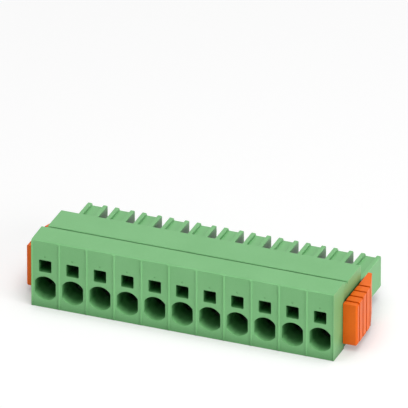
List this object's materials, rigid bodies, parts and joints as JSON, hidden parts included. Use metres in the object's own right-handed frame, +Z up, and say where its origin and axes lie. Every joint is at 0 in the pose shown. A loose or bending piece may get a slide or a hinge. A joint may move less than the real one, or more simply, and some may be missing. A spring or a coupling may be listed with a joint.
{
  "type": "pluggable terminal block",
  "caption": "Green spring-clamp plug with a row of round wire entries, square release openings, a comb of socket teeth and a sliding orange latch at each end.",
  "frame": {"origin": "middle of the footprint, on the plane that the plug rests on", "axes": "+X along the row of poles, +Y from the wire side to the mating side, +Z up"},
  "size_m": [0.0422, 0.0172, 0.009],
  "materials": {
    "housing_plastic": "moulded polyamide, light green, satin",
    "latch_plastic": "moulded polyamide, orange, satin",
    "contact_tin": "stamped copper alloy, tin plated",
    "spring_steel": "folded stainless spring steel"
  },
  "bodies": {
    "plug_body": {"housing": "housing_plastic", "wire_entry_cap": "housing_plastic", "contact_01": "contact_tin", "contact_02": "contact_tin", "contact_03": "contact_tin", "contact_04": "contact_tin", "contact_05": "contact_tin", "contact_06": "contact_tin", "contact_07": "contact_tin", "contact_08": "contact_tin", "contact_09": "contact_tin", "contact_10": "contact_tin", "contact_11": "contact_tin", "clamp_spring_01": "spring_steel", "clamp_spring_02": "spring_steel", "clamp_spring_03": "spring_steel", "clamp_spring_04": "spring_steel", "clamp_spring_05": "spring_steel", "clamp_spring_06": "spring_steel", "clamp_spring_07": "spring_steel", "clamp_spring_08": "spring_steel", "clamp_spring_09": "spring_steel", "clamp_spring_10": "spring_steel", "clamp_spring_11": "spring_steel"},
    "left_latch": {"latch_left": "latch_plastic"},
    "right_latch": {"latch_right": "latch_plastic"}
  },
  "joints": [
    {"name": "left_latch_slide", "type": "slide", "parent": "plug_body", "child": "left_latch", "axis": [0, -1, 0], "range_m": [0, 0.0015]},
    {"name": "right_latch_slide", "type": "slide", "parent": "plug_body", "child": "right_latch", "axis": [0, -1, 0], "range_m": [0, 0.0015]}
  ]
}
